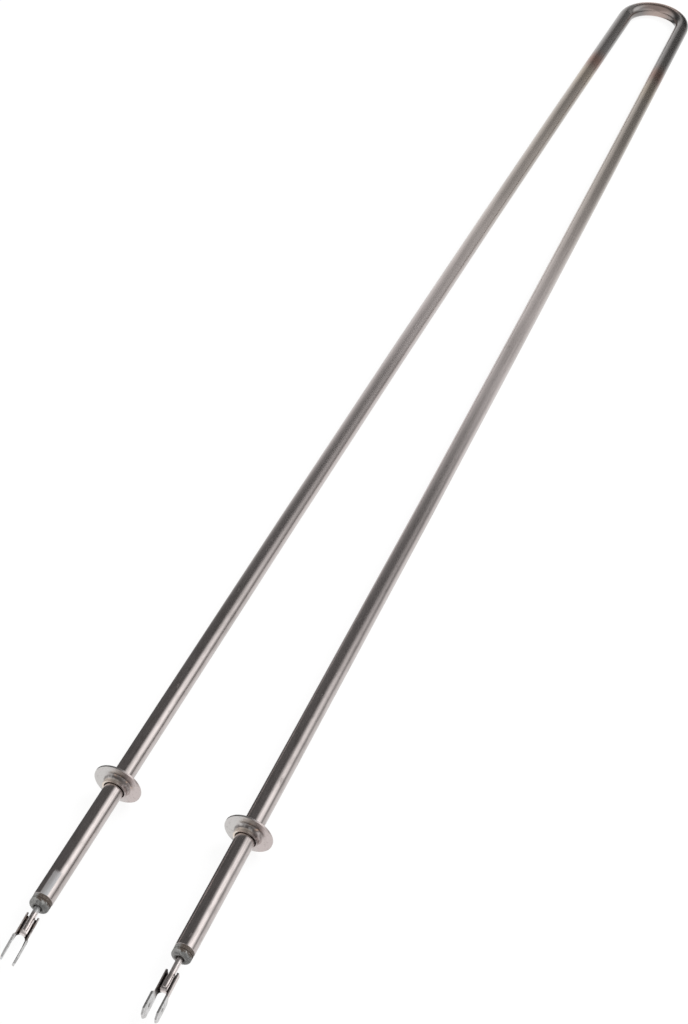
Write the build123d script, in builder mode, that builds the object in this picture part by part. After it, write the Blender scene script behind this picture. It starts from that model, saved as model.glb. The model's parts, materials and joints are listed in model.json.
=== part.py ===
from build123d import *
from math import acos, atan, atan2, cos, degrees, hypot, radians, sin
import os

# A hairpin tubular heating element, in millimetres, +Z up, lying at rest on the floor z = 0.
# +Y runs from the terminals to the return bend, X = 0 is half way between the flanges' outer
# rims, and Y = 0 is half way along the whole element. It touches the floor at both flange rims
# and at the outermost point of the bend, so the legs slope down slightly towards the bend.
# Distances along a leg are measured from the start of its straight cold end.
LEFT, RIGHT = -1, 1

# Metal sheath: a thin-walled stainless tube bent once, its legs a little toed out.
SHEATH_D = 8.5  # outside diameter
SHEATH_WALL = 0.6
SHEATH_BREAK = 0.12  # broken edge at the two cut ends
BEND_R = 18.3  # centreline radius of the return bend
HEATED_LEG = 635.0  # straight-line length of one leg's heated part
LEG_BOW = {LEFT: 1.6, RIGHT: 1.1}  # how far the heated part bulges outwards from that line
END_TOE = {LEFT: 0.35, RIGHT: 0.6}  # angle between a cold end and the mid plane, degrees
COLD_END = {LEFT: 104.3, RIGHT: 102.0}  # straight unheated end, up to the cut

# Winding: a close helix of resistance wire, kept as the round bar that its turns fill.
COIL_D = 3.4

# Terminal pin, gripped by the winding inside and welded to the tab terminal outside.
PIN_D = 2.5
PIN_SPIGOT = 7.0  # reduced inner end, wound over by the last turns
PIN_SPIGOT_D = 2.1
PIN_END_BREAK = 0.3  # chamfer at the outer tip
PIN_KINK = {LEFT: 3.0, RIGHT: 1.0}  # bend towards +X just outside the bush, degrees
PIN_KINK_R = 8.0  # centreline radius of that bend
WELD_FLAT = 0.15  # depth pressed flat where the pin is welded down

# End closure: resin seal, then a ceramic bush with a spigot in the sheath.
SEAL_LENGTH = 4.0
BUSH_SPIGOT = 6.0
BUSH_HEAD = 4.2
BUSH_D = 8.3
BUSH_BORE = 3.7
BUSH_ROUND = 1.2
BUSH_GROOVE = 0.5  # width of the parting groove round the head
BUSH_GROOVE_DEPTH = 0.2
BUSH_GROOVE_AT = 1.6  # from the sheath's end to the groove

# Mounting flange: a stamped washer with a drawn collar that opens towards the terminals.
FLANGE_D = 21.0
FLANGE_T = 0.8
FLANGE_AT = 42.5  # along the leg, to the flange's back face
COLLAR_HEIGHT = 3.8  # back face to mouth
COLLAR_WALL = 0.75
COLLAR_LAND = 1.3  # straight outside behind the mouth, which centres in the wall's hole
COLLAR_LIP_R = 0.3  # rounded outer edge of the mouth
COLLAR_TAPER = 0.8  # how much the outside widens from the land to the root
COLLAR_ROOT_R = 0.95
MOUTH_GAP = 0.45  # all round, between the mouth and the sheath
ENTRY_R = 0.8  # draw radius on the back face
GRIP_LAND = 0.9  # straight length that holds the sheath
RIM_R = 0.3

# Tab terminal: one folded sheet, a saddle under the pin that opens into two parallel tabs.
SHEET_T = 0.8
SADDLE_AT = 112.7  # along the leg, to the saddle's back edge
SADDLE_WIDTH = 5.5  # outside
SADDLE_LENGTH = 9.9
SADDLE_WALL_TOP = 1.3  # above the pin's axis
SADDLE_FOLD_R = 0.6
PIN_STOP = 2.6  # pin's tip to the saddle's front
TAB_HEIGHT = 6.3
TAB_PITCH = 5.4  # between the tabs' middles
TAB_LEAN = 3.0  # each tab leans outwards at the top, degrees
TAB_STEP = 1.8  # length over which the wall steps out to the tab
TAB_LENGTH = 11.3  # saddle's front to the tips
TAB_CORNER = 1.9
TAB_EDGE = 0.2  # bevel that leads a receptacle on
TAB_HOLE_D = 1.7
TAB_HOLE_FROM_TIP = 5.4
TAB_ROLL = {LEFT: 19.0, RIGHT: -1.0}  # turn about the pin, the open side towards +X, degrees

# Clearances, all round.
FILL_FIT = 0.03  # packed powder and resin against metal
BUSH_FIT = 0.05  # spigot in the sheath
GRIP_FIT = 0.05  # brazed grip of the flange

SIDES = {LEFT: "left", RIGHT: "right"}
SHEATH_R = SHEATH_D / 2
BORE_R = SHEATH_R - SHEATH_WALL
SEAL_FACE = BUSH_SPIGOT + SEAL_LENGTH  # depth of the seal's inner face
TERMINAL_LENGTH = SADDLE_LENGTH + TAB_LENGTH


def heading(toe, side):
    """Unit vector away from the bend along a leg turned `toe` degrees outwards."""
    return Vector(side * sin(radians(toe)), -cos(radians(toe)))


# Each leg's plan: a straight cold end, then a tangent arc of half angle `bow` to the bend.
bow = {side: degrees(2 * atan(2 * LEG_BOW[side] / HEATED_LEG)) for side in SIDES}
bend_start, cold_start, leg_middle = {}, {}, {}
for side in SIDES:
    chord = heading(END_TOE[side] + bow[side], side)
    outwards = Vector(-side * chord.Y, side * chord.X)
    bend_toe = radians(END_TOE[side] + 2 * bow[side])
    bend_start[side] = Vector(side * cos(bend_toe), sin(bend_toe)) * BEND_R
    cold_start[side] = bend_start[side] + chord * HEATED_LEG
    leg_middle[side] = (bend_start[side] + cold_start[side]) / 2 + outwards * LEG_BOW[side]


def on_leg(side, along):
    """Plan point of a cold end's centreline, `along` millimetres from its start."""
    return cold_start[side] + heading(END_TOE[side], side) * along


# Rest: the flange's rounded back edge and the bend's far point both touch z = 0.
rim_r = FLANGE_D / 2 - RIM_R
span = BEND_R - on_leg(RIGHT, FLANGE_AT + RIM_R).Y
tilt = acos((SHEATH_R - RIM_R) / hypot(rim_r, span)) - atan2(span, rim_r)
far_y = BEND_R * cos(tilt) + SHEATH_R
near_y = on_leg(RIGHT, SADDLE_AT + TERMINAL_LENGTH).Y * cos(tilt)
rims = [on_leg(side, FLANGE_AT).X + side * FLANGE_D / 2 for side in SIDES]
lay = Plane(
    origin=(-sum(rims) / 2, -(far_y + near_y) / 2, SHEATH_R + BEND_R * sin(tilt)),
    x_dir=(1, 0, 0),
    z_dir=(0, sin(tilt), cos(tilt)),
)


def flat(point):
    """Plan coordinates as the pair that a line in the `lay` plane takes."""
    return (point.X, point.Y)


def hairpin(straight):
    """Centreline from left to right, with `straight[side]` millimetres of each cold end."""
    with BuildLine(lay) as line:
        for side in SIDES:
            Line(flat(on_leg(side, straight[side])), flat(cold_start[side]))
            ThreePointArc(flat(cold_start[side]), flat(leg_middle[side]), flat(bend_start[side]))
        ThreePointArc(flat(bend_start[LEFT]), (0, BEND_R), flat(bend_start[RIGHT]))
    return line.wire()


def leg_plane(side, along):
    """Plane across a cold end: z leads to the terminal, y is up, x is to the right."""
    origin = lay.from_local_coords(flat(on_leg(side, along)))
    ahead = lay.from_local_coords(flat(on_leg(side, along + 1))) - origin
    return Plane(origin=origin, x_dir=lay.z_dir.cross(ahead), z_dir=ahead)


def write(piece, name):
    """Label one finished piece and save it."""
    piece.label = name
    export_step(piece, f"parts/{name}.step")


def write_pair(piece, name, along):
    """Save one copy of an end piece on each leg, its own origin `along[side]` down the leg."""
    for side, word in SIDES.items():
        write(piece.moved(leg_plane(side, along[side]).location), f"{word}_{name}")


os.makedirs("parts", exist_ok=True)

# Sheath.
sheath_line = hairpin(COLD_END)
with BuildPart() as sheath_tube:
    with BuildSketch(Plane(origin=sheath_line @ 0, z_dir=sheath_line % 0)):
        Circle(SHEATH_R)
        Circle(BORE_R, mode=Mode.SUBTRACT)
    sweep(path=sheath_line)
    cut_ends = sheath_tube.faces().filter_by(GeomType.PLANE)
    chamfer(cut_ends.edges(), SHEATH_BREAK)
write(sheath_tube.part, "sheath_tube")

# Winding, from one pin's shoulder to the other's.
coil_line = hairpin({side: PIN_SPIGOT for side in SIDES})
with BuildPart() as resistance_coil:
    with BuildSketch(Plane(origin=coil_line @ 0, z_dir=coil_line % 0)):
        Circle(COIL_D / 2)
    sweep(path=coil_line)
    for side in SIDES:
        with BuildSketch(leg_plane(side, PIN_SPIGOT)):
            Circle(PIN_SPIGOT_D / 2 + FILL_FIT)
        extrude(amount=-PIN_SPIGOT - FILL_FIT, mode=Mode.SUBTRACT)
write(resistance_coil.part, "resistance_coil")

# Packed magnesia round the winding and the pins.
fill_line = hairpin({side: COLD_END[side] - SEAL_FACE for side in SIDES})
with BuildPart() as magnesia_fill:
    with BuildSketch(Plane(origin=fill_line @ 0, z_dir=fill_line % 0)):
        Circle(BORE_R - FILL_FIT)
    sweep(path=fill_line)
    with BuildSketch(Plane(origin=coil_line @ 0, z_dir=coil_line % 0)):
        Circle(COIL_D / 2 + FILL_FIT)
    sweep(path=coil_line, mode=Mode.SUBTRACT)
    for side in SIDES:
        with BuildSketch(leg_plane(side, PIN_SPIGOT)):
            Circle(PIN_D / 2 + FILL_FIT)
        extrude(amount=COLD_END[side] - PIN_SPIGOT, mode=Mode.SUBTRACT)
write(magnesia_fill.part, "magnesia_fill")

# Flange, turned about z, with its collar's mouth towards the terminal.
bore_r = SHEATH_R + GRIP_FIT
mouth_in = SHEATH_R + MOUTH_GAP
mouth_out = mouth_in + COLLAR_WALL
root_out = mouth_out + COLLAR_TAPER
with BuildPart() as flange:
    with BuildSketch(Plane.XZ) as section:
        with BuildLine():
            Polyline(
                (bore_r, 0),
                (FLANGE_D / 2, 0),
                (FLANGE_D / 2, FLANGE_T),
                (root_out, FLANGE_T),
                (mouth_out, COLLAR_HEIGHT - COLLAR_LAND),
                (mouth_out, COLLAR_HEIGHT),
                (mouth_in, COLLAR_HEIGHT),
                (bore_r, ENTRY_R + GRIP_LAND),
                close=True,
            )
        make_face()
        corners = section.vertices()
        fillet(corners.sort_by_distance((root_out, FLANGE_T))[0], COLLAR_ROOT_R)
        fillet(corners.sort_by_distance((bore_r, 0))[0], ENTRY_R)
        fillet(corners.group_by(Axis.X)[-1], RIM_R)
        fillet(corners.sort_by_distance((mouth_out, COLLAR_HEIGHT))[0], COLLAR_LIP_R)
    revolve(axis=Axis.Z)
write_pair(flange.part, "flange", {side: FLANGE_AT for side in SIDES})

# Terminal pins: spigot, full shank, a slight kink outside the bush, and a flat under which the
# saddle is welded on. `saddle_planes` holds the kinked end's frame, turned with the terminal.
saddle_planes = {}
for side, word in SIDES.items():
    mouth = COLD_END[side] + BUSH_HEAD
    kink = radians(PIN_KINK[side])
    kink_end = (PIN_KINK_R * (1 - cos(kink)), 0, mouth + PIN_KINK_R * sin(kink))
    beyond = Plane(
        origin=kink_end, x_dir=(cos(kink), 0, -sin(kink)), z_dir=(sin(kink), 0, cos(kink))
    )
    to_saddle = SADDLE_AT - kink_end[2]
    roll = radians(TAB_ROLL[side])
    saddle = Plane(
        origin=beyond.from_local_coords((0, 0, to_saddle)),
        x_dir=beyond.x_dir * cos(roll) - beyond.y_dir * sin(roll),
        z_dir=beyond.z_dir,
    )
    with BuildPart() as pin:
        with BuildSketch(Plane.XY):
            Circle(PIN_SPIGOT_D / 2)
        extrude(amount=PIN_SPIGOT)
        with BuildSketch(Plane.XY.offset(PIN_SPIGOT)):
            Circle(PIN_D / 2)
        extrude(amount=mouth - PIN_SPIGOT)
        with BuildSketch(Plane.XY.offset(mouth)):
            Circle(PIN_D / 2)
        revolve(axis=Axis((PIN_KINK_R, 0, mouth), (0, 1, 0)), revolution_arc=PIN_KINK[side])
        with BuildSketch(beyond):
            Circle(PIN_D / 2)
        extrude(amount=to_saddle + SADDLE_LENGTH - PIN_STOP)
        chamfer(pin.faces().sort_by(Axis.Z)[-1].edges(), PIN_END_BREAK)
        with BuildSketch(saddle):
            with Locations((0, -PIN_D / 2)):
                Rectangle(PIN_D, 2 * WELD_FLAT)
        extrude(amount=SADDLE_LENGTH, mode=Mode.SUBTRACT)
    leg = leg_plane(side, 0).location
    write(pin.part.moved(leg), f"{word}_terminal_pin")
    saddle_planes[side] = leg * saddle.location

# Resin seal behind the bush.
with BuildPart() as seal:
    with BuildSketch(Plane.XY.offset(-SEAL_FACE)):
        Circle(BORE_R - FILL_FIT)
        Circle(PIN_D / 2 + FILL_FIT, mode=Mode.SUBTRACT)
    extrude(amount=SEAL_LENGTH)
write_pair(seal.part, "end_seal", COLD_END)

# Ceramic bush: a spigot inside the sheath and a rounded head outside.
with BuildPart() as bush:
    with BuildSketch(Plane.XY.offset(-BUSH_SPIGOT)):
        Circle(BORE_R - BUSH_FIT)
    extrude(amount=BUSH_SPIGOT)
    with BuildSketch():
        Circle(BUSH_D / 2)
    extrude(amount=BUSH_HEAD)
    fillet(bush.faces().sort_by(Axis.Z)[-1].edges(), BUSH_ROUND)
    with BuildSketch(Plane.XY.offset(BUSH_GROOVE_AT)):
        Circle(BUSH_D / 2)
        Circle(BUSH_D / 2 - BUSH_GROOVE_DEPTH, mode=Mode.SUBTRACT)
    extrude(amount=BUSH_GROOVE, mode=Mode.SUBTRACT)
    with BuildSketch(Plane.XY.offset(-BUSH_SPIGOT)):
        Circle(BUSH_BORE / 2)
    extrude(amount=BUSH_SPIGOT + BUSH_HEAD, mode=Mode.SUBTRACT)
write_pair(bush.part, "end_bush", COLD_END)

# Tab terminal, its z axis on the pin's and z = 0 at the saddle's back edge. The web lies under
# the pin's flat, and the walls stand beside the pin.
web_top = WELD_FLAT - PIN_D / 2
web_bottom = web_top - SHEET_T
wall_height = SADDLE_WALL_TOP - web_bottom
wall_x = (SADDLE_WIDTH - SHEET_T) / 2
wall_y = (SADDLE_WALL_TOP + web_bottom) / 2
slot_r = wall_x - SHEET_T / 2
with BuildPart() as tab_terminal:
    with BuildSketch(Plane.XY) as saddle_section:
        with Locations((0, (web_top + web_bottom) / 2)):
            Rectangle(SADDLE_WIDTH, SHEET_T)
        with Locations((-wall_x, wall_y), (wall_x, wall_y)):
            Rectangle(SHEET_T, wall_height)
        fillet(saddle_section.vertices().group_by(Axis.Y)[0], SADDLE_FOLD_R)
    extrude(amount=SADDLE_LENGTH)
    # Between the tabs the web ends in a round cut.
    with BuildSketch(Plane.XZ.offset(-web_top)):
        with Locations((0, SADDLE_LENGTH)):
            Circle(slot_r)
    extrude(amount=SHEET_T, mode=Mode.SUBTRACT)
    for side in SIDES:
        with BuildSketch(Plane.XY.offset(SADDLE_LENGTH)):
            with Locations((side * wall_x, wall_y)):
                Rectangle(SHEET_T, wall_height)
        with BuildSketch(Plane.XY.offset(SADDLE_LENGTH + TAB_STEP)):
            with Locations((side * TAB_PITCH / 2, 0)):
                Rectangle(SHEET_T, TAB_HEIGHT, rotation=-side * TAB_LEAN)
        loft(ruled=True)
        with BuildSketch(Plane.XY.offset(SADDLE_LENGTH + TAB_STEP)):
            with Locations((side * TAB_PITCH / 2, 0)):
                Rectangle(SHEET_T, TAB_HEIGHT, rotation=-side * TAB_LEAN)
        extrude(amount=TAB_LENGTH - TAB_STEP)
    tips = tab_terminal.faces().group_by(Axis.Z)[-1]
    corners = tips.edges().filter_by(lambda edge: edge.length < SHEET_T * 1.01)
    chamfer(corners, TAB_CORNER)
    tips = tab_terminal.faces().group_by(Axis.Z)[-1]
    lead_ins = tips.edges().filter_by(lambda edge: edge.length > SHEET_T * 1.01)
    chamfer(lead_ins, TAB_EDGE)
    with BuildSketch(Plane.YZ.offset(-SADDLE_WIDTH)):
        with Locations((0, TERMINAL_LENGTH - TAB_HOLE_FROM_TIP)):
            Circle(TAB_HOLE_D / 2)
    extrude(amount=2 * SADDLE_WIDTH, mode=Mode.SUBTRACT)
for side, word in SIDES.items():
    write(tab_terminal.part.moved(saddle_planes[side]), f"{word}_tab_terminal")
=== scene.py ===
"""Visual model of a hairpin tubular heating element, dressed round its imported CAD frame."""

import json
import logging
import math
from dataclasses import dataclass, field
from enum import Enum

import bmesh
import bpy
from mathutils import Matrix, Vector


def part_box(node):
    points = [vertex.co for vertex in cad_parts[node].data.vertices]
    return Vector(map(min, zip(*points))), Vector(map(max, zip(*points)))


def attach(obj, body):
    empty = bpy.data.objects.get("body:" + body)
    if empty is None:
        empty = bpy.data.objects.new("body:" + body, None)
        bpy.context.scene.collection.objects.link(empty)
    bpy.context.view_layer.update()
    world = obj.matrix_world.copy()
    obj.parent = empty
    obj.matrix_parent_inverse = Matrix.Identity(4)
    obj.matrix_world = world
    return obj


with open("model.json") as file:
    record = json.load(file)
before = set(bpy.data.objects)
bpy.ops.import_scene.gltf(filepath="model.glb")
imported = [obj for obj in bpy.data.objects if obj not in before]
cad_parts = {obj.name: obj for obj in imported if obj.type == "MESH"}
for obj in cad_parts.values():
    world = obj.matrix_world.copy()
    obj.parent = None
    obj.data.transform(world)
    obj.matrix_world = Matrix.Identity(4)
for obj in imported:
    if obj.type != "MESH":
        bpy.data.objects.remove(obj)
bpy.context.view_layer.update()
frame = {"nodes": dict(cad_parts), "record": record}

NOISE_MIDDLE = 0.5
log = logging.getLogger("heating_element")

# A colour, or one number for each axis.
Triple = tuple[float, float, float]
# Where a smooth step starts and where it is complete.
Span = tuple[float, float]


class Side(Enum):
    """One leg of the hairpin."""

    LEFT = "left"
    RIGHT = "right"


# ---------------------------------------------------------------- places on the element


def mount(name: str) -> tuple[Vector, Vector]:
    """A mount of the part.

    Args:
        name: The mount's name in the record.

    Returns:
        Its place and its axis, which points at the terminals' tips.
    """
    row = next(row for row in frame["record"]["mounts"] if row["name"] == name)
    return Vector(row["pos_m"]), Vector(row["axis"]).normalized()


@dataclass(frozen=True)
class Datum:
    """A place on the element with its own three square directions, in metres."""

    place: Vector
    right: Vector
    up: Vector
    out: Vector

    @classmethod
    def facing(cls, place: Vector, out: Vector, right: Vector) -> "Datum":
        """A datum from one exact direction and one that is nearly square to it.

        Args:
            place: Where it lies.
            out: Its exact out direction.
            right: Roughly its right direction.

        Returns:
            The datum.
        """
        up = out.cross(right).normalized()
        return cls(place, up.cross(out).normalized(), up, out)

    def turned(self, angle: float) -> "Datum":
        """The datum turned about its out direction, anticlockwise seen against it.

        Args:
            angle: How far, in radians.

        Returns:
            The turned datum.
        """
        turn = Matrix.Rotation(angle, 3, self.out)
        return Datum(self.place, turn @ self.right, turn @ self.up, self.out)

    def matrix(self) -> Matrix:
        """The turn and move that carry a shape from the origin to this datum."""
        turned = Matrix((self.right, self.up, self.out)).transposed().to_4x4()
        return Matrix.Translation(self.place) @ turned


@dataclass(frozen=True)
class LegPlaces:
    """The three datums of one leg, with out towards the tips."""

    flange_face: Datum
    cut_end: Datum
    saddle: Datum

    @classmethod
    def of(cls, side: Side, bush_head: float = 0.0042, saddle_to_tabs: float = 0.01645) -> "LegPlaces":
        """Works the datums out from the part's mounts and the bush's box.

        Args:
            side: The leg.
            bush_head: How far the bush stands out of the sheath.
            saddle_to_tabs: From the saddle's inner edge to the middle of the tabs.

        Returns:
            The leg's datums.
        """
        word = side.value
        across = Vector((1.0, 0.0, 0.0))
        on_axis, out = mount(f"{word}_collar")
        seat, _ = mount(f"{word}_flange_seat")
        face = on_axis + out * (seat - on_axis).dot(out)
        bush_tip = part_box(f"{word}_end_bush")[0][1]
        cut = on_axis + out * ((bush_tip - on_axis.y) / out.y - bush_head)
        left_tab, tab_out = mount(f"{word}_tab_minus_x")
        right_tab, _ = mount(f"{word}_tab_plus_x")
        saddle = (left_tab + right_tab) / 2 - tab_out * saddle_to_tabs
        return cls(
            Datum.facing(face, out, across),
            Datum.facing(cut, out, across),
            Datum.facing(saddle, tab_out, right_tab - left_tab),
        )


# ---------------------------------------------------------------- shader graph


class Value:
    """A number, colour or vector on a socket, with arithmetic that adds Math nodes."""

    def __init__(self, graph: "Graph", socket: bpy.types.NodeSocket) -> None:
        """Wraps a socket.

        Args:
            graph: The graph that the socket belongs to.
            socket: The output socket.
        """
        self.graph = graph
        self.socket = socket

    def _math(self, operation: str, first: "Scalar", second: "Scalar" = 0.0) -> "Value":
        """Adds one Math node.

        Args:
            operation: The Math node's operation.
            first: Its first number.
            second: Its second number.

        Returns:
            The node's result.
        """
        settings = {"operation": operation}
        return self.graph.node("ShaderNodeMath", settings, {0: first, 1: second})

    def __add__(self, other: "Scalar") -> "Value":
        """Sum."""
        return self._math("ADD", self, other)

    __radd__ = __add__

    def __sub__(self, other: "Scalar") -> "Value":
        """Difference."""
        return self._math("SUBTRACT", self, other)

    def __rsub__(self, other: "Scalar") -> "Value":
        """Reflected difference."""
        return self._math("SUBTRACT", other, self)

    def __mul__(self, other: "Scalar") -> "Value":
        """Product."""
        return self._math("MULTIPLY", self, other)

    __rmul__ = __mul__

    def __abs__(self) -> "Value":
        """Magnitude."""
        return self._math("ABSOLUTE", self)

    def root(self) -> "Value":
        """Square root."""
        return self._math("SQRT", self)

    def at_most(self, other: "Scalar") -> "Value":
        """The smaller of two numbers."""
        return self._math("MINIMUM", self, other)

    def at_least(self, other: "Scalar") -> "Value":
        """The larger of two numbers."""
        return self._math("MAXIMUM", self, other)

    def angle_from(self, other: "Scalar") -> "Value":
        """Angle of the vector (self, other), in radians from other's axis."""
        return self._math("ARCTAN2", self, other)

    def rises(self, start: float, end: float) -> "Value":
        """Smooth step from 0 at start to 1 at end.

        Args:
            start: Where the step begins.
            end: Where it is complete, which may be lower than start.

        Returns:
            The step's value, from 0 to 1.
        """
        low, high = (start, end) if start < end else (end, start)
        settings = {"interpolation_type": "SMOOTHSTEP"}
        sockets = {"Value": self, "From Min": low, "From Max": high}
        step = self.graph.node("ShaderNodeMapRange", settings, sockets)
        return step if start < end else 1 - step

    def band(self, centre: float, half_width: float) -> "Value":
        """Smooth bump that is 1 at centre and 0 beyond half_width.

        Args:
            centre: The bump's middle.
            half_width: Distance from the middle to where it has faded out.

        Returns:
            The bump's value, from 0 to 1.
        """
        return abs(self - centre).rises(half_width, 0.0)


Scalar = Value | float


class Graph:
    """A node tree that is filled from Python expressions."""

    def __init__(self, tree: bpy.types.NodeTree) -> None:
        """Empties a node tree, to be filled again.

        Args:
            tree: The material's or the world's node tree.
        """
        self.tree = tree
        self.tree.nodes.clear()

    def node(
        self,
        kind: str,
        settings: dict[str, object] | None = None,
        sockets: dict[str | int, object] | None = None,
        output: str | int = 0,
    ) -> Value | None:
        """Adds a node of any type.

        Args:
            kind: The node's type.
            settings: Its own settings, set first.
            sockets: Values or links for its input sockets, by name or number.
            output: Which output socket to hand back.

        Returns:
            The chosen output, or None where the node has no output.
        """
        made = self.tree.nodes.new(kind)
        for name, value in (settings or {}).items():
            setattr(made, name, value)
        for name, value in (sockets or {}).items():
            if isinstance(value, Value):
                self.tree.links.new(value.socket, made.inputs[name])
            elif isinstance(value, tuple) and len(value) < len(made.inputs[name].default_value):
                made.inputs[name].default_value = (*value, 1.0)
            else:
                made.inputs[name].default_value = value
        return Value(self, made.outputs[output]) if made.outputs else None

    def place(self) -> Value:
        """Object coordinates, in metres."""
        return self.node("ShaderNodeTexCoord", output="Object")

    def parts(self, vector: Value) -> tuple[Value, Value, Value]:
        """X, Y and Z of a vector.

        Args:
            vector: The vector to split.

        Returns:
            Its three numbers.
        """
        split = self.node("ShaderNodeSeparateXYZ", sockets={0: vector})
        outputs = split.socket.node.outputs
        return tuple(Value(self, outputs[axis]) for axis in "XYZ")

    def joined(self, first: Value, second: Value, third: Value) -> Value:
        """A vector from three numbers."""
        return self.node("ShaderNodeCombineXYZ", sockets={0: first, 1: second, 2: third})

    def noise(self, vector: Value, scale: float, detail: float) -> Value:
        """Smooth noise from 0 to 1.

        Args:
            vector: Where to read it.
            scale: Features per unit of the vector.
            detail: Octaves of finer noise.

        Returns:
            The noise's value.
        """
        sockets = {"Vector": vector, "Scale": scale, "Detail": detail}
        return self.node("ShaderNodeTexNoise", sockets=sockets)

    def drawn_noise(self, vector: Value, scale: Triple, detail: float) -> Value:
        """Noise stretched along the axes.

        Args:
            vector: Where to read it.
            scale: Features per unit along each axis.
            detail: Octaves of finer noise.

        Returns:
            The noise's value, from 0 to 1.
        """
        stretched = self.node("ShaderNodeMapping", sockets={"Vector": vector, "Scale": scale})
        return self.noise(stretched, scale=1.0, detail=detail)

    def local(self, datum: Datum) -> tuple[Value, Value, Value]:
        """A point's place seen from a datum.

        Args:
            datum: Where to measure from.

        Returns:
            The distances along the datum's right, up and out directions.
        """
        offset = [part - start for part, start in zip(self.parts(self.place()), datum.place)]
        right, up, out = (
            offset[0] * way[0] + offset[1] * way[1] + offset[2] * way[2]
            for way in (datum.right, datum.up, datum.out)
        )
        return right, up, out

    def mix(self, factor: Scalar, first: Value | Triple, second: Value | Triple) -> Value:
        """A blend of two colours.

        Args:
            factor: 0 for the first colour, 1 for the second.
            first: The first colour.
            second: The second colour.

        Returns:
            The mixed colour.
        """
        # A Mix node's colours go in at 6 and 7 and come out at 2.
        sockets = {0: factor, 6: first, 7: second}
        return self.node("ShaderNodeMix", {"data_type": "RGBA"}, sockets, output=2)

    def bump(self, height: Value, depth: float, strength: float) -> Value:
        """Surface relief.

        Args:
            height: Relief from 0 to 1.
            depth: What 1 stands for, in metres.
            strength: How much of it shows.

        Returns:
            The tilted normal.
        """
        sockets = {"Height": height, "Distance": depth, "Strength": strength}
        return self.node("ShaderNodeBump", sockets=sockets)

    def surface(self, **sockets: object) -> None:
        """Ends a material in one Principled shader.

        Args:
            sockets: The shader's inputs, with underscores for spaces.
        """
        named = {name.replace("_", " "): value for name, value in sockets.items()}
        shader = self.node("ShaderNodeBsdfPrincipled", sockets=named)
        self.node("ShaderNodeOutputMaterial", sockets={"Surface": shader})


# ---------------------------------------------------------------- finishes


@dataclass(frozen=True)
class Finish:
    """A surface finish, which makes its material once.

    Its distances are in metres and its noise scales in features per metre. Marks that follow noise
    start and end at values of the noise, from 0 to 1. A share says how much of a mark shows, a
    least how much of it is there at the noise's lowest, a stray how far noise moves an edge, and
    a rough what a mark adds to the roughness.
    """

    name: str

    def paint(self, graph: Graph) -> None:
        """Fills the material's graph; each finish has its own.

        Args:
            graph: The graph of the material.
        """
        raise NotImplementedError

    def material(self) -> bpy.types.Material:
        """The finish's material, made when first asked for.

        Returns:
            The material.
        """
        made = bpy.data.materials.get(self.name)
        if made is None:
            made = bpy.data.materials.new(self.name)
            made.use_nodes = True
            self.paint(Graph(made.node_tree))
        return made


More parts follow.
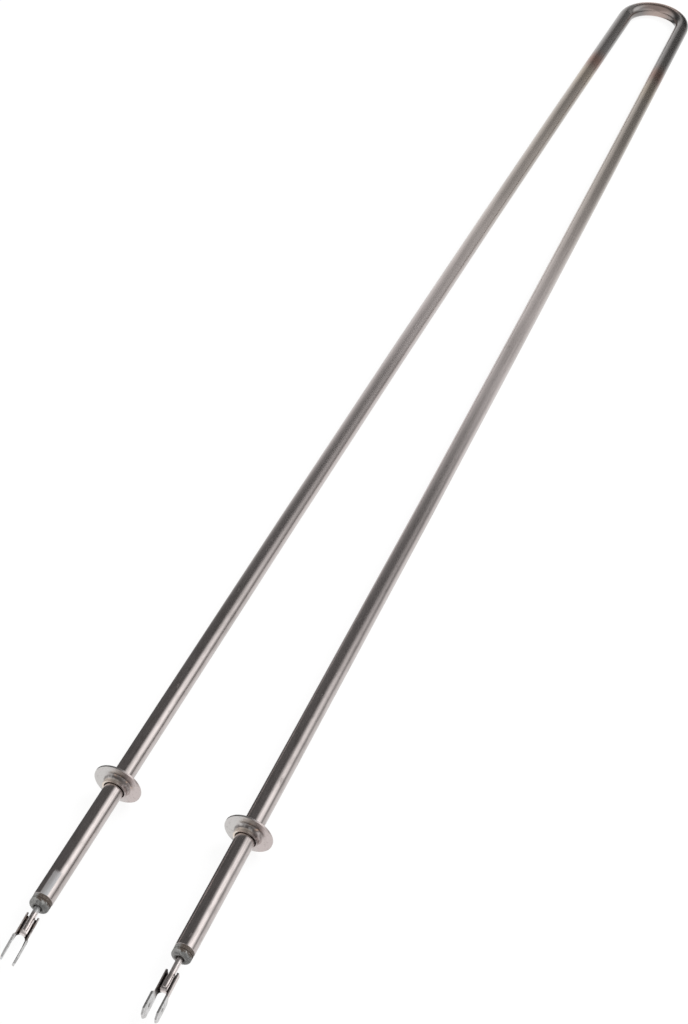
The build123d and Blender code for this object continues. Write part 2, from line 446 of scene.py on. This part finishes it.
@dataclass(frozen=True)
class DrawnSheath(Finish):
    """Drawn stainless tube: bright at the cold ends, heat tinted towards the bend.

    The spans along the tube are in Y, which grows towards the bend.
    """

    rubbed: Datum
    bright: Triple = (0.625, 0.565, 0.55)
    warm: Triple = (0.425, 0.38, 0.34)
    olive: Triple = (0.43, 0.36, 0.285)
    russet: Triple = (0.31, 0.175, 0.135)
    blued: Triple = (0.27, 0.256, 0.25)
    tan: Triple = (0.60, 0.455, 0.40)
    grime: Triple = (0.25, 0.225, 0.21)
    worn: Triple = (0.56, 0.565, 0.575)
    line_scale: Triple = (1500.0, 22.0, 1500.0)
    cloud_scale: Triple = (90.0, 16.0, 90.0)
    speck_scale: Triple = (900.0, 320.0, 900.0)
    mottle_scale: Triple = (480.0, 150.0, 480.0)
    edge_stray: float = 0.006
    warm_along: Span = (-0.02, 0.27)
    olive_at: float = 0.292
    olive_reach: float = 0.022
    olive_share: float = 0.7
    blue_along: Span = (0.296, 0.312)
    russet_at: float = 0.309
    russet_reach: float = 0.015
    russet_least: float = 0.5
    bend_along: Span = (0.382, 0.391)
    bend_centre: float = 0.372886
    bend_inside: Span = (0.0218, 0.0195)
    handled_along: Span = (-0.08, -0.27)
    dirt_clouds: Span = (0.45, 0.75)
    dirt_lines: Span = (0.45, 0.7)
    dirt_mottle: Span = (0.48, 0.64)
    cloud_dirt: float = 0.25
    line_dirt: float = 0.1
    handled_line_dirt: float = 0.12
    mottle_dirt: float = 0.22
    specks: Span = (0.64, 0.74)
    speck_share: float = 0.3
    spots: Span = (0.66, 0.74)
    rub_length: Span = (-0.0125, -0.0105)
    rub_width: Span = (0.0019, 0.0012)
    rub_side: Span = (0.0, 0.001)
    rub_clouds: Span = (0.4, 0.6)
    rub_least: float = 0.65
    rub_bareness: float = 0.8
    smoothest: float = 0.14
    dull_along: Span = (-0.2, 0.1)
    dull_rough: float = 0.06
    line_rough: float = 0.07
    spot_rough: float = 0.16
    rub_rough: float = 0.3
    line_relief: float = 0.6
    handled_relief: float = 1.2
    relief_depth: float = 0.00001
    relief_strength: float = 0.4

    def paint(self, graph: Graph) -> None:
        """Fills the sheath's material.

        Args:
            graph: The graph of the material.
        """
        place = graph.place()
        across, along, _ = graph.parts(place)
        lines = graph.drawn_noise(place, self.line_scale, detail=3.0)
        cloud = graph.drawn_noise(place, self.cloud_scale, detail=3.0)
        speck = graph.drawn_noise(place, self.speck_scale, detail=2.0)
        edge = along + self.edge_stray * (cloud - NOISE_MIDDLE)

        colour = graph.mix(edge.rises(*self.warm_along), self.bright, self.warm)
        olive = self.olive_share * edge.band(self.olive_at, self.olive_reach)
        colour = graph.mix(olive, colour, self.olive)
        colour = graph.mix(edge.rises(*self.blue_along), colour, self.blued)
        russet = self.russet_least + (1 - self.russet_least) * cloud
        russet = edge.band(self.russet_at, self.russet_reach) * russet
        colour = graph.mix(russet, colour, self.russet)
        reach = along - self.bend_centre
        inner = (across * across + reach * reach).root().rises(*self.bend_inside)
        colour = graph.mix(edge.rises(*self.bend_along) * inner, colour, self.tan)

        handled = edge.rises(*self.handled_along)
        mottle = graph.drawn_noise(place, self.mottle_scale, detail=3.0)
        streaks = self.line_dirt + self.handled_line_dirt * handled
        dirt = self.cloud_dirt * cloud.rises(*self.dirt_clouds) + streaks * lines.rises(*self.dirt_lines)
        dirt = dirt + self.mottle_dirt * handled * mottle.rises(*self.dirt_mottle)
        colour = graph.mix(dirt, colour, self.grime)
        colour = graph.mix(self.speck_share * speck.rises(*self.specks), colour, self.grime)
        spot = handled * mottle.rises(*self.spots)

        beside, over, out = graph.local(self.rubbed)
        rub = out.rises(*self.rub_length) * abs(beside).rises(*self.rub_width)
        patches = self.rub_least + (1 - self.rub_least) * cloud.rises(*self.rub_clouds)
        rub = rub * over.rises(*self.rub_side) * patches
        colour = graph.mix(rub, colour, self.worn)

        dull = self.smoothest + self.dull_rough * edge.rises(*self.dull_along)
        rough = dull + self.line_rough * lines + self.spot_rough * spot
        relief = lines * (self.line_relief + self.handled_relief * handled)
        graph.surface(
            Base_Color=colour,
            Metallic=1 - self.rub_bareness * rub,
            Roughness=rough + self.rub_rough * rub,
            Normal=graph.bump(relief, self.relief_depth, self.relief_strength),
        )


@dataclass(frozen=True)
class PressedFlange(Finish):
    """A pressed steel disc whose drawn collar is heat marked at its root, with painted dark reflections
    and painted highlights on the collar's upper side and a painted highlight on the collar's mouth.
    """

    datum: Datum
    bright: Triple = (0.64, 0.62, 0.605)
    pink: Triple = (0.62, 0.545, 0.53)
    # The next three colours are dark heat scorch that also serves as painted dark reflection, straw heat
    # tint that also serves as painted peach highlight, and a painted cream highlight for the collar's
    # mouth.
    scorch_and_painted_dark: Triple = (0.14, 0.12, 0.115)
    straw_and_highlight: Triple = (0.80, 0.56, 0.42)
    lip_highlight: Triple = (0.95, 0.84, 0.74)
    grain_scale: float = 900.0
    cloud_scale: float = 420.0
    pink_stray: float = 0.002
    pink_across: Span = (-0.001, 0.006)
    root_radius: Span = (0.0085, 0.0066)
    root_up: Span = (-0.001, 0.004)
    root_across: Span = (-0.006, -0.001)
    scorch_and_dark_clouds: Span = (0.34, 0.5)
    scorch_and_dark_share: float = 0.75
    straw_and_highlight_clouds: Span = (0.56, 0.64)
    straw_and_highlight_share: float = 0.5
    collar_out: Span = (0.0, 0.0008)
    collar_up: Span = (-0.003, 0.002)
    burn_and_reflection_clouds: Span = (0.4, 0.6)
    burn_and_reflection_least: float = 0.35
    burn_and_reflection_share: float = 0.85
    mouth_highlight_out: Span = (0.0011, 0.0019)
    mouth_highlight_across: Span = (0.0035, 0.0005)
    mouth_highlight_least: float = 0.55
    specks: Span = (0.55, 0.75)
    speck_share: float = 0.3
    smoothest: float = 0.27
    grain_rough: float = 0.12
    relief_depth: float = 0.00002
    relief_strength: float = 0.3

    def paint(self, graph: Graph) -> None:
        """Fills the flange's material.

        Args:
            graph: The graph of the material.
        """
        place = graph.place()
        grain = graph.noise(place, self.grain_scale, detail=3.0)
        cloud = graph.noise(place, self.cloud_scale, detail=2.0)
        across, up, out = graph.local(self.datum)
        radius = (across * across + up * up).root()

        pink = (across + self.pink_stray * (cloud - NOISE_MIDDLE)).rises(*self.pink_across)
        colour = graph.mix(pink, self.bright, self.pink)
        # Painted reflections on the upper side of the collar's root: dark patches and peach highlight
        # patches, broken up by cloud noise like heat scorch and straw tint.
        root = radius.rises(*self.root_radius) * up.rises(*self.root_up)
        root = root * across.rises(*self.root_across)
        scorch_and_painted_dark = self.scorch_and_dark_share * root * cloud.rises(*self.scorch_and_dark_clouds)
        colour = graph.mix(scorch_and_painted_dark, colour, self.scorch_and_painted_dark)
        straw_and_highlight = self.straw_and_highlight_share * root * cloud.rises(*self.straw_and_highlight_clouds)
        colour = graph.mix(straw_and_highlight, colour, self.straw_and_highlight)

        # Painted dark reflection over the upper side of the collar, broken up by clouds like heat burn.
        collar = out.rises(*self.collar_out) * up.rises(*self.collar_up)
        burn_and_dark_reflection = collar * (self.burn_and_reflection_least + (1 - self.burn_and_reflection_least) * cloud.rises(*self.burn_and_reflection_clouds))
        colour = graph.mix(self.burn_and_reflection_share * burn_and_dark_reflection, colour, self.scorch_and_painted_dark)
        # Painted highlight: cream on the collar's mouth, towards -X.
        mouth_highlight = out.rises(*self.mouth_highlight_out) * across.rises(*self.mouth_highlight_across)
        mouth_highlight = mouth_highlight * (self.mouth_highlight_least + (1 - self.mouth_highlight_least) * cloud)
        colour = graph.mix(mouth_highlight, colour, self.lip_highlight)
        colour = graph.mix(self.speck_share * grain.rises(*self.specks), colour, self.scorch_and_painted_dark)
        graph.surface(
            Base_Color=colour,
            Metallic=1.0,
            Roughness=self.smoothest + self.grain_rough * grain,
            Normal=graph.bump(grain, self.relief_depth, self.relief_strength),
        )


@dataclass(frozen=True)
class WeldedPin(Finish):
    """Bright drawn pin, streaked and smoked where it is welded down."""

    datum: Datum
    bright: Triple = (0.93, 0.85, 0.83)
    smoke: Triple = (0.24, 0.18, 0.16)
    sleeve: Triple = (0.74, 0.75, 0.75)
    sleeve_share: float = 0.9
    smoke_share: float = 0.5
    haze_share: float = 0.1
    streak_across: float = 2600.0
    streak_along: float = 260.0
    grain_scale: float = 1100.0
    smoke_out: Span = (-0.0002, 0.0012)
    smoke_streaks: Span = (0.5, 0.6)
    sleeve_out: Span = (-0.001, -0.0022)
    smoothest: float = 0.25
    grain_rough: float = 0.1
    sleeve_rough: float = 0.25
    relief_depth: float = 0.00003
    relief_strength: float = 0.4

    def paint(self, graph: Graph) -> None:
        """Fills the pin's material.

        Args:
            graph: The graph of the material.
        """
        across, up, out = graph.local(self.datum)
        drawn = graph.joined(
            across * self.streak_across, up * self.streak_across, out * self.streak_along
        )
        streak = graph.noise(drawn, scale=1.0, detail=3.0)
        grain = graph.noise(graph.place(), self.grain_scale, detail=3.0)
        smoked = self.smoke_share * out.rises(*self.smoke_out) * streak.rises(*self.smoke_streaks)
        colour = graph.mix(self.haze_share + smoked, self.bright, self.smoke)
        dull = self.sleeve_share * out.rises(*self.sleeve_out)
        colour = graph.mix(dull, colour, self.sleeve)
        graph.surface(
            Base_Color=colour,
            Metallic=1.0,
            Roughness=self.smoothest + self.grain_rough * grain + self.sleeve_rough * dull,
            Normal=graph.bump(streak, self.relief_depth, self.relief_strength),
        )


@dataclass(frozen=True)
class StampedTab(Finish):
    """Stamped sheet steel, scorched where it is welded, and near-black inside the channel: weld scorch
    with painted shade of the recess.
    """

    datum: Datum
    bright: Triple = (0.74, 0.735, 0.73)
    dull: Triple = (0.58, 0.57, 0.56)
    pink: Triple = (0.74, 0.64, 0.61)
    # Near-black: weld scorch, also standing for painted shade inside the channel.
    scorch_and_painted_dark: Triple = (0.035, 0.028, 0.025)
    rust: Triple = (0.17, 0.125, 0.10)
    grain_scale: float = 900.0
    cloud_scale: float = 420.0
    channel_out: Span = (0.0118, 0.0098)
    dull_clouds: Span = (0.4, 0.62)
    dull_share: float = 0.7
    pink_share: float = 0.7
    inside_across: Span = (0.00255, 0.0021)
    rim_up: Span = (0.00115, 0.00135)
    rim_clouds: Span = (0.42, 0.52)
    rim_share: float = 0.6
    rust_clouds: Span = (0.52, 0.62)
    specks: Span = (0.58, 0.7)
    speck_share: float = 0.45
    smoothest: float = 0.3
    grain_rough: float = 0.12
    burnt_and_shaded_rough: float = 0.15
    relief_depth: float = 0.00002
    relief_strength: float = 0.3

    def paint(self, graph: Graph) -> None:
        """Fills the tab's material.

        Args:
            graph: The graph of the material.
        """
        place = graph.place()
        grain = graph.noise(place, self.grain_scale, detail=3.0)
        cloud = graph.noise(place, self.cloud_scale, detail=3.0)
        across, up, out = graph.local(self.datum)
        channel = out.rises(*self.channel_out)
        dull = self.dull_share * cloud.rises(*self.dull_clouds)
        colour = graph.mix(dull, self.bright, self.dull)
        colour = graph.mix(self.pink_share * channel, colour, self.pink)

        # The channel's inner faces are painted near-black, weld scorch with painted shade of the recess;
        # the wall tops take scorch in clouds.
        inside = channel * abs(across).rises(*self.inside_across)
        rim = channel * up.rises(*self.rim_up)
        burnt_and_shaded = inside.at_least(self.rim_share * rim * cloud.rises(*self.rim_clouds))
        scorch_and_painted_dark = graph.mix(cloud.rises(*self.rust_clouds), self.scorch_and_painted_dark, self.rust)
        colour = graph.mix(burnt_and_shaded, colour, scorch_and_painted_dark)
        speck = self.speck_share * grain.rises(*self.specks) * (1 - channel)
        colour = graph.mix(speck, colour, self.scorch_and_painted_dark)
        graph.surface(
            Base_Color=colour,
            Metallic=1.0,
            Roughness=self.smoothest + self.grain_rough * grain + self.burnt_and_shaded_rough * burnt_and_shaded,
            Normal=graph.bump(grain, self.relief_depth, self.relief_strength),
        )


@dataclass(frozen=True)
class FiredClay(Finish):
    """Grey insulating ceramic with brown smoke marks and painted shade round its bore."""

    datum: Datum
    pale: Triple = (0.43, 0.43, 0.415)
    body: Triple = (0.19, 0.19, 0.185)
    smoke: Triple = (0.085, 0.058, 0.042)
    fleck: Triple = (0.6, 0.6, 0.58)
    pit: Triple = (0.08, 0.07, 0.06)
    # Painted shade for the bore round the pin.
    bore_shade: Triple = (0.04, 0.035, 0.03)
    speck_scale: float = 2500.0
    cloud_scale: float = 950.0
    pale_lean: float = 40.0
    pale_clouds: Span = (0.4, 0.62)
    smoke_stray: float = 0.005
    smoke_out: Span = (0.003, 0.0024)
    smoke_across: Span = (-0.0025, -0.0005)
    smoke_share: float = 0.9
    flecks: Span = (0.58, 0.7)
    fleck_share: float = 0.35
    pits: Span = (0.42, 0.32)
    pit_share: float = 0.5
    bore_shade_radius: Span = (0.0026, 0.0021)
    bore_shade_share: float = 0.85
    smoothest: float = 0.38
    speck_rough: float = 0.2
    relief_depth: float = 0.00005
    relief_strength: float = 0.5

    def paint(self, graph: Graph) -> None:
        """Fills the ceramic's material.

        Args:
            graph: The graph of the material.
        """
        place = graph.place()
        speck = graph.noise(place, self.speck_scale, detail=2.0)
        cloud = graph.noise(place, self.cloud_scale, detail=3.0)
        across, up, out = graph.local(self.datum)
        pale = (cloud - self.pale_lean * across).rises(*self.pale_clouds)
        colour = graph.mix(pale, self.body, self.pale)
        brown = (out + self.smoke_stray * (cloud - NOISE_MIDDLE)).rises(*self.smoke_out)
        brown = brown * across.rises(*self.smoke_across)
        colour = graph.mix(self.smoke_share * brown, colour, self.smoke)
        colour = graph.mix(self.fleck_share * speck.rises(*self.flecks), colour, self.fleck)
        colour = graph.mix(self.pit_share * speck.rises(*self.pits), colour, self.pit)
        # Painted shade: near-black on the face round the bore, where the hole is in shade.
        bore_shade_mask = (across * across + up * up).root().rises(*self.bore_shade_radius)
        colour = graph.mix(self.bore_shade_share * bore_shade_mask, colour, self.bore_shade)
        graph.surface(
            Base_Color=colour,
            Roughness=self.smoothest + self.speck_rough * speck,
            Normal=graph.bump(speck, self.relief_depth, self.relief_strength),
        )


@dataclass(frozen=True)
class PlainBody(Finish):
    """A matt, slightly mottled material for the pieces inside."""

    light: Triple = (0.82, 0.81, 0.78)
    dark: Triple = (0.7, 0.69, 0.66)
    metallic: float = 0.0
    roughness: float = 0.8
    grain_scale: float = 1200.0
    dark_grain: Span = (0.3, 0.7)
    relief_depth: float = 0.00004
    relief_strength: float = 0.5

    def paint(self, graph: Graph) -> None:
        """Fills the inner piece's material.

        Args:
            graph: The graph of the material.
        """
        grain = graph.noise(graph.place(), self.grain_scale, detail=4.0)
        graph.surface(
            Base_Color=graph.mix(grain.rises(*self.dark_grain), self.light, self.dark),
            Metallic=self.metallic,
            Roughness=self.roughness,
            Normal=graph.bump(grain, self.relief_depth, self.relief_strength),
        )


# ---------------------------------------------------------------- the element


def dress(node: str, finish: Finish) -> None:
    """Gives a CAD piece its finish.

    Args:
        node: The piece's name.
        finish: What it is finished with.
    """
    piece = frame["nodes"][node]
    if not piece.material_slots:
        piece.data.materials.append(None)
    for spot in piece.material_slots:
        spot.material = finish.material()
    log.info("dressed %s with %s", node, finish.name)


def modelled(name: str, work: bmesh.types.BMesh) -> bpy.types.Object:
    """Turns a bmesh into an object at the origin.

    Args:
        name: The name of the object and of its mesh.
        work: The shape, which is freed.

    Returns:
        The object, linked to the scene.
    """
    mesh = bpy.data.meshes.new(name)
    work.to_mesh(mesh)
    work.free()
    made = bpy.data.objects.new(name, mesh)
    bpy.context.scene.collection.objects.link(made)
    return made


@dataclass
class HairpinBody:
    """The bent sheath with what is packed inside it."""

    rubbed_lean: float = math.radians(-7.4)
    powder: Finish = PlainBody("packed_powder")
    winding: Finish = PlainBody("winding_wire", (0.42, 0.4, 0.38), (0.3, 0.28, 0.27), 1.0, 0.45)

    def dress(self) -> None:
        """Finishes the sheath, the powder and the winding."""
        rubbed = LegPlaces.of(Side.LEFT).cut_end.turned(self.rubbed_lean)
        dress("sheath_tube", DrawnSheath("drawn_sheath", rubbed))
        dress("magnesia_fill", self.powder)
        dress("resistance_coil", self.winding)


@dataclass
class LegEnd:
    """Everything fitted to one leg's end."""

    side: Side
    weld_width: float = 0.0037
    weld_height: float = 0.0024
    weld_length: float = 0.0079
    weld_middle: float = 0.0047
    weld_drop: float = 0.00025
    weld_rounding: float = 0.75
    weld_segments: int = 5
    weld_smoke: float = 0.3
    left_sleeve: float = 0.9
    right_sleeve: float = 0.2
    places: LegPlaces = field(init=False)
    seal: Finish = PlainBody("seal_resin", (0.45, 0.27, 0.18), (0.36, 0.2, 0.14), 0.0, 0.6)

    def __post_init__(self) -> None:
        """Finds the leg's datums."""
        self.places = LegPlaces.of(self.side)

    def dress(self) -> None:
        """Finishes this leg's fittings."""
        word = self.side.value
        dress(f"{word}_flange", PressedFlange(f"{word}_flange_steel", self.places.flange_face))
        dress(f"{word}_terminal_pin", self._pin())
        dress(f"{word}_tab_terminal", StampedTab(f"{word}_tab_steel", self.places.saddle))
        dress(f"{word}_end_bush", FiredClay(f"{word}_bush_clay", self.places.cut_end))
        dress(f"{word}_end_seal", self.seal)

    def _pin(self) -> Finish:
        """The finish of this side's pin; the left one is duller beside its bush."""
        share = self.left_sleeve if self.side is Side.LEFT else self.right_sleeve
        return WeldedPin(f"{self.side.value}_pin_steel", self.places.saddle, sleeve_share=share)

    def build_weld(self) -> None:
        """Lays the weld that fills the channel on both sides of the pin."""
        word = self.side.value
        half = Vector((self.weld_width, self.weld_height, self.weld_length)) / 2
        middle = Vector((0.0, -self.weld_drop, self.weld_middle))
        work = bmesh.new()
        bmesh.ops.create_cube(work, size=2.0)
        bmesh.ops.scale(work, vec=half, verts=work.verts)
        bmesh.ops.bevel(
            work,
            geom=work.edges[:],
            offset=self.weld_rounding * min(half),
            offset_type="OFFSET",
            affect="EDGES",
            segments=self.weld_segments,
            profile=0.5,
            material=-1,
        )
        bmesh.ops.translate(work, vec=middle, verts=work.verts)
        bmesh.ops.transform(work, matrix=self.places.saddle.matrix(), verts=work.verts)
        weld = modelled(f"{word}_weld", work)
        weld.data.shade_smooth()
        finish = WeldedPin(
            f"{word}_weld_steel",
            self.places.saddle,
            sleeve_share=0.0,
            smoke_share=self.weld_smoke,
        )
        weld.data.materials.append(finish.material())
        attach(weld, "root")
        log.info("laid %s_weld", word)


# ---------------------------------------------------------------- the studio


@dataclass(frozen=True)
class MirroredRoom:
    """What bare metal mirrors of the studio: pale walls, a dark card, a strip light and haze.

    Angles go round the Y axis, in degrees from straight up towards +X. "Along" is a direction's
    share along +Y, from -1 to 1. The far end of the room is where it is above far_along, and the
    front of the room where it is below front_along.
    """

    wall_level: float = 0.92
    card_level: float = 0.115
    far_card_dip: float = 0.055
    far_along: Span = (0.725, 0.785)
    left_wall: Span = (10.0, -95.0)
    left_slant: float = 700.0
    left_slant_to: float = 0.74
    far_left_wall: Span = (8.0, -82.0)
    far_left_gain: float = 1.27
    under_left: Span = (-152.0, -172.0)
    right_wall: Span = (68.0, 122.0)
    far_right_wall: Span = (64.0, 153.0)
    far_right_gain: float = 1.12
    strip_level: float = 1.5
    strip_start: Span = (-2.0, 42.0)
    strip_end: Span = (90.0, 55.0)
    strip_slant: float = 26.0
    strip_slant_along: Span = (0.58, 0.71)
    strip_fade: float = 0.93
    strip_fade_along: Span = (0.55, 0.685)
    haze_level: float = 1.35
    haze_at: float = 0.782
    haze_reach: float = 0.048
    front_along: Span = (0.25, -0.05)
    front_dip: float = 0.5
    front_dip_angles: Span = (75.0, 20.0)

    def level(self, across: Value, along: Value, up: Value) -> Value:
        """The room's brightness in a direction.

        Args:
            across: The direction's share along X.
            along: Its share along Y.
            up: Its share along Z.

        Returns:
            The brightness.
        """
        angle = across.angle_from(up) * math.degrees(1)
        far = along.rises(*self.far_along)
        slant = self.left_slant * (self.left_slant_to - along).at_least(0.0)
        left = (angle + slant).rises(*self.left_wall) * (1 - far)
        left = left + self.far_left_gain * far * angle.rises(*self.far_left_wall)
        left = left.at_least(angle.rises(*self.under_left))
        right = angle.rises(*self.right_wall) * (1 - far)
        right = right + self.far_right_gain * far * angle.rises(*self.far_right_wall)
        wall = left.at_least(right)

        lean = self.strip_slant * along.rises(*self.strip_slant_along)
        strip = (angle - lean).rises(*self.strip_start) * angle.rises(*self.strip_end)
        faded = 1 - self.strip_fade * along.rises(*self.strip_fade_along)
        strip = strip * (self.strip_level * faded) * (1 - far)
        haze = along.band(self.haze_at, self.haze_reach) * self.haze_level
        haze = haze * (1 - wall).at_least(0.0)
        card = self.card_level - self.far_card_dip * far
        room = card + (self.wall_level - card) * wall + strip + haze
        front = self.wall_level - self.front_dip * abs(angle).rises(*self.front_dip_angles)
        turn = along.rises(*self.front_along)
        return room * (1 - turn) + front * turn


@dataclass
class Studio:
    """Pale floor, plain soft light, and the camera."""

    floor_size: float = 8.0
    floor_shade: float = 0.8
    floor_white: float = 1.08
    shadow_share: float = 0.22
    key_place: Triple = (1.1, 0.9, 1.7)
    key_size: float = 1.6
    key_power: float = 22.0
    room_level: float = 0.55
    mirrored: MirroredRoom = MirroredRoom()
    camera_place: Triple = (0.216734, -0.720221, 0.651215)
    camera_turn: Triple = (44.8887811, -2.3704705, 22.8089044)
    camera_lens: float = 68.174087
    camera_sensor: float = 36.0
    camera_reach: float = 20.0

    def build_floor(self) -> None:
        """Lays the floor, which shows white and keeps a soft shadow."""
        work = bmesh.new()
        bmesh.ops.create_grid(work, x_segments=1, y_segments=1, size=self.floor_size / 2)
        floor = modelled("floor", work)
        material = bpy.data.materials.new("floor_paper")
        material.use_nodes = True
        graph = Graph(material.node_tree)
        seen = self._seen(graph)
        shade = graph.mix(seen, (self.floor_shade,) * 3, (self.shadow_share,) * 3)
        lit = graph.node("ShaderNodeBsdfDiffuse", sockets={"Color": shade})
        strength = seen * (self.floor_white - self.shadow_share)
        glow = graph.node("ShaderNodeEmission", sockets={"Strength": strength})
        both = graph.node("ShaderNodeAddShader", sockets={0: lit, 1: glow})
        graph.node("ShaderNodeOutputMaterial", sockets={"Surface": both})
        floor.data.materials.append(material)
        floor.visible_glossy = False
        log.info("laid the floor")

    @staticmethod
    def _seen(graph: Graph) -> Value:
        """Tells the rays by which the camera sees the background, straight or mirrored.

        Args:
            graph: The graph of the background's material.

        Returns:
            1 for those rays and 0 for the others.
        """
        ways = ("Is Camera Ray", "Is Glossy Ray", "Is Transmission Ray")
        straight, mirrored, through = (
            graph.node("ShaderNodeLightPath", output=way) for way in ways
        )
        return (straight + mirrored + through).at_most(1.0)

    def build_room(self) -> None:
        """Fills the world: even light, and a studio that only metal mirrors."""
        world = bpy.data.worlds.new("studio_room")
        world.use_nodes = True
        bpy.context.scene.world = world
        graph = Graph(world.node_tree)
        way = graph.node("ShaderNodeTexCoord", output="Generated")
        mirrored = self.mirrored.level(*graph.parts(way))
        camera = graph.node("ShaderNodeLightPath", output="Is Camera Ray")
        glossy = graph.node("ShaderNodeLightPath", output="Is Glossy Ray")
        level = camera + glossy * mirrored + (1 - camera) * (1 - glossy) * self.room_level
        white = (1.0, 1.0, 1.0)
        sky = graph.node("ShaderNodeBackground", sockets={"Color": white, "Strength": level})
        graph.node("ShaderNodeOutputWorld", sockets={"Surface": sky})
        log.info("filled the room with light")

    def build_key(self) -> None:
        """Hangs the soft lamp."""
        lamp = bpy.data.lights.new("key_lamp", "AREA")
        lamp.shape = "SQUARE"
        lamp.size = self.key_size
        lamp.energy = self.key_power
        holder = bpy.data.objects.new("key_lamp", lamp)
        holder.location = self.key_place
        holder.rotation_mode = "QUATERNION"
        holder.rotation_quaternion = Vector(self.key_place).to_track_quat("Z", "Y")
        holder.visible_glossy = False
        bpy.context.scene.collection.objects.link(holder)
        log.info("hung the key lamp")

    def build_camera(self) -> None:
        """Sets the camera and the plain view."""
        lens = bpy.data.cameras.new("camera")
        lens.sensor_width = self.camera_sensor
        lens.lens = self.camera_lens
        lens.clip_end = self.camera_reach
        holder = bpy.data.objects.new("camera", lens)
        holder.location = self.camera_place
        holder.rotation_euler = [math.radians(turn) for turn in self.camera_turn]
        bpy.context.scene.collection.objects.link(holder)
        bpy.context.scene.camera = holder
        bpy.context.scene.view_settings.view_transform = "Standard"
        log.info("set the camera")

    def build(self) -> None:
        """Builds the whole studio."""
        self.build_floor()
        self.build_room()
        self.build_key()
        self.build_camera()


def main() -> None:
    """Dresses the element and builds the studio round it."""
    logging.basicConfig(level=logging.INFO, format="%(name)s: %(message)s")
    HairpinBody().dress()
    for side in Side:
        leg_end = LegEnd(side)
        leg_end.dress()
        leg_end.build_weld()
    Studio().build()


if __name__ == "__main__":
    main()
